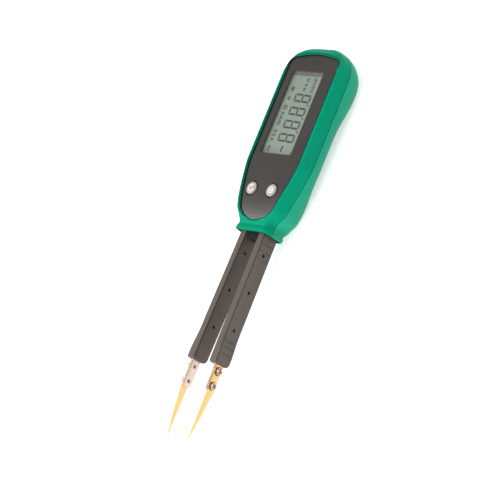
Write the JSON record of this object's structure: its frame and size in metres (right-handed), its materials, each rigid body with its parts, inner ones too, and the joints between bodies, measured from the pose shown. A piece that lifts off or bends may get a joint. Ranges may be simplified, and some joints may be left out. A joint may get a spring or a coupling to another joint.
{
  "type": "component tester",
  "caption": "Hand-held tweezer tester with a display, two buttons and two sprung arms that close gold contact blades on a small component.",
  "frame": {"origin": "under the middle of the whole length, on the surface that the back rests on", "axes": "+Z out of the display, +Y from the blade tips to the head end, +X to the right of the display"},
  "size_m": [0.035, 0.1809, 0.02],
  "materials": {
    "front_green": "satin moulded ABS, fine texture",
    "rear_green": "satin moulded ABS, fine texture",
    "steel_screws": "zinc-plated",
    "fascia": "dark brown-black overlay, satin",
    "clear_window": "clear hard-coated window",
    "display_glass": "grey-green liquid crystal panel",
    "holder_white": "moulded, satin",
    "elastomer": "silicone strip with conducting layers",
    "board": "green solder mask",
    "chips": "moulded epoxy",
    "switches": "stamped steel",
    "cell": "nickel-plated steel",
    "black_plastic": "moulded, satin",
    "sprung_contact": "nickel-plated spring sheet",
    "carrier": "moulded glass-filled nylon",
    "wire": "insulated wire",
    "buttons": "moulded, satin, light warm grey",
    "arms": "moulded black-brown plastic, satin",
    "spring_steel": "rolled spring steel",
    "contact_blocks": "nickel plate",
    "gold_blades": "gold-plated spring sheet",
    "nickel_screws": "nickel-plated pan head"
  },
  "bodies": {
    "housing": {"front_shell": "front_green", "rear_shell": "rear_green", "battery_cover": "rear_green", "battery_cover_screw": "steel_screws", "housing_screws": "steel_screws", "fascia": "fascia", "display_lens": "clear_window", "lcd_panel": "display_glass", "display_holder": "holder_white", "contact_strips": "elastomer", "main_board": "board", "board_chips": "chips", "button_switches": "switches", "coin_cell": "cell", "cell_holder": "black_plastic", "cell_contact": "sprung_contact", "cell_clip": "sprung_contact", "arm_carrier": "carrier", "strip_rivets": "steel_screws", "signal_wires": "wire"},
    "left_arm": {"left_arm_cover": "arms", "left_spring_strip": "spring_steel", "left_contact_block": "contact_blocks", "left_blade": "gold_blades", "left_blade_screws": "nickel_screws"},
    "right_arm": {"right_arm_cover": "arms", "right_spring_strip": "spring_steel", "right_contact_block": "contact_blocks", "right_blade": "gold_blades", "right_blade_screws": "nickel_screws"},
    "left_button": {"left_button": "buttons"},
    "right_button": {"right_button": "buttons"}
  },
  "joints": [
    {"name": "left_arm_hinge", "type": "hinge", "parent": "housing", "child": "left_arm", "pos_m": [-0.00545, 0.0042, 0.0113], "axis": [0, 0, 1], "range_deg": [0, 3.6], "stiffness_Nm_per_rad": 0.8, "deforming": ["left_spring_strip"]},
    {"name": "right_arm_hinge", "type": "hinge", "parent": "housing", "child": "right_arm", "pos_m": [0.00545, 0.0042, 0.0113], "axis": [0, 0, -1], "range_deg": [0, 3.6], "stiffness_Nm_per_rad": 0.8, "deforming": ["right_spring_strip"]},
    {"name": "left_button_press", "type": "slide", "parent": "housing", "child": "left_button", "axis": [0, 0, -1], "range_m": [0, 0.0005], "stiffness_N_per_m": 1500},
    {"name": "right_button_press", "type": "slide", "parent": "housing", "child": "right_button", "axis": [0, 0, -1], "range_m": [0, 0.0005], "stiffness_N_per_m": 1500}
  ]
}
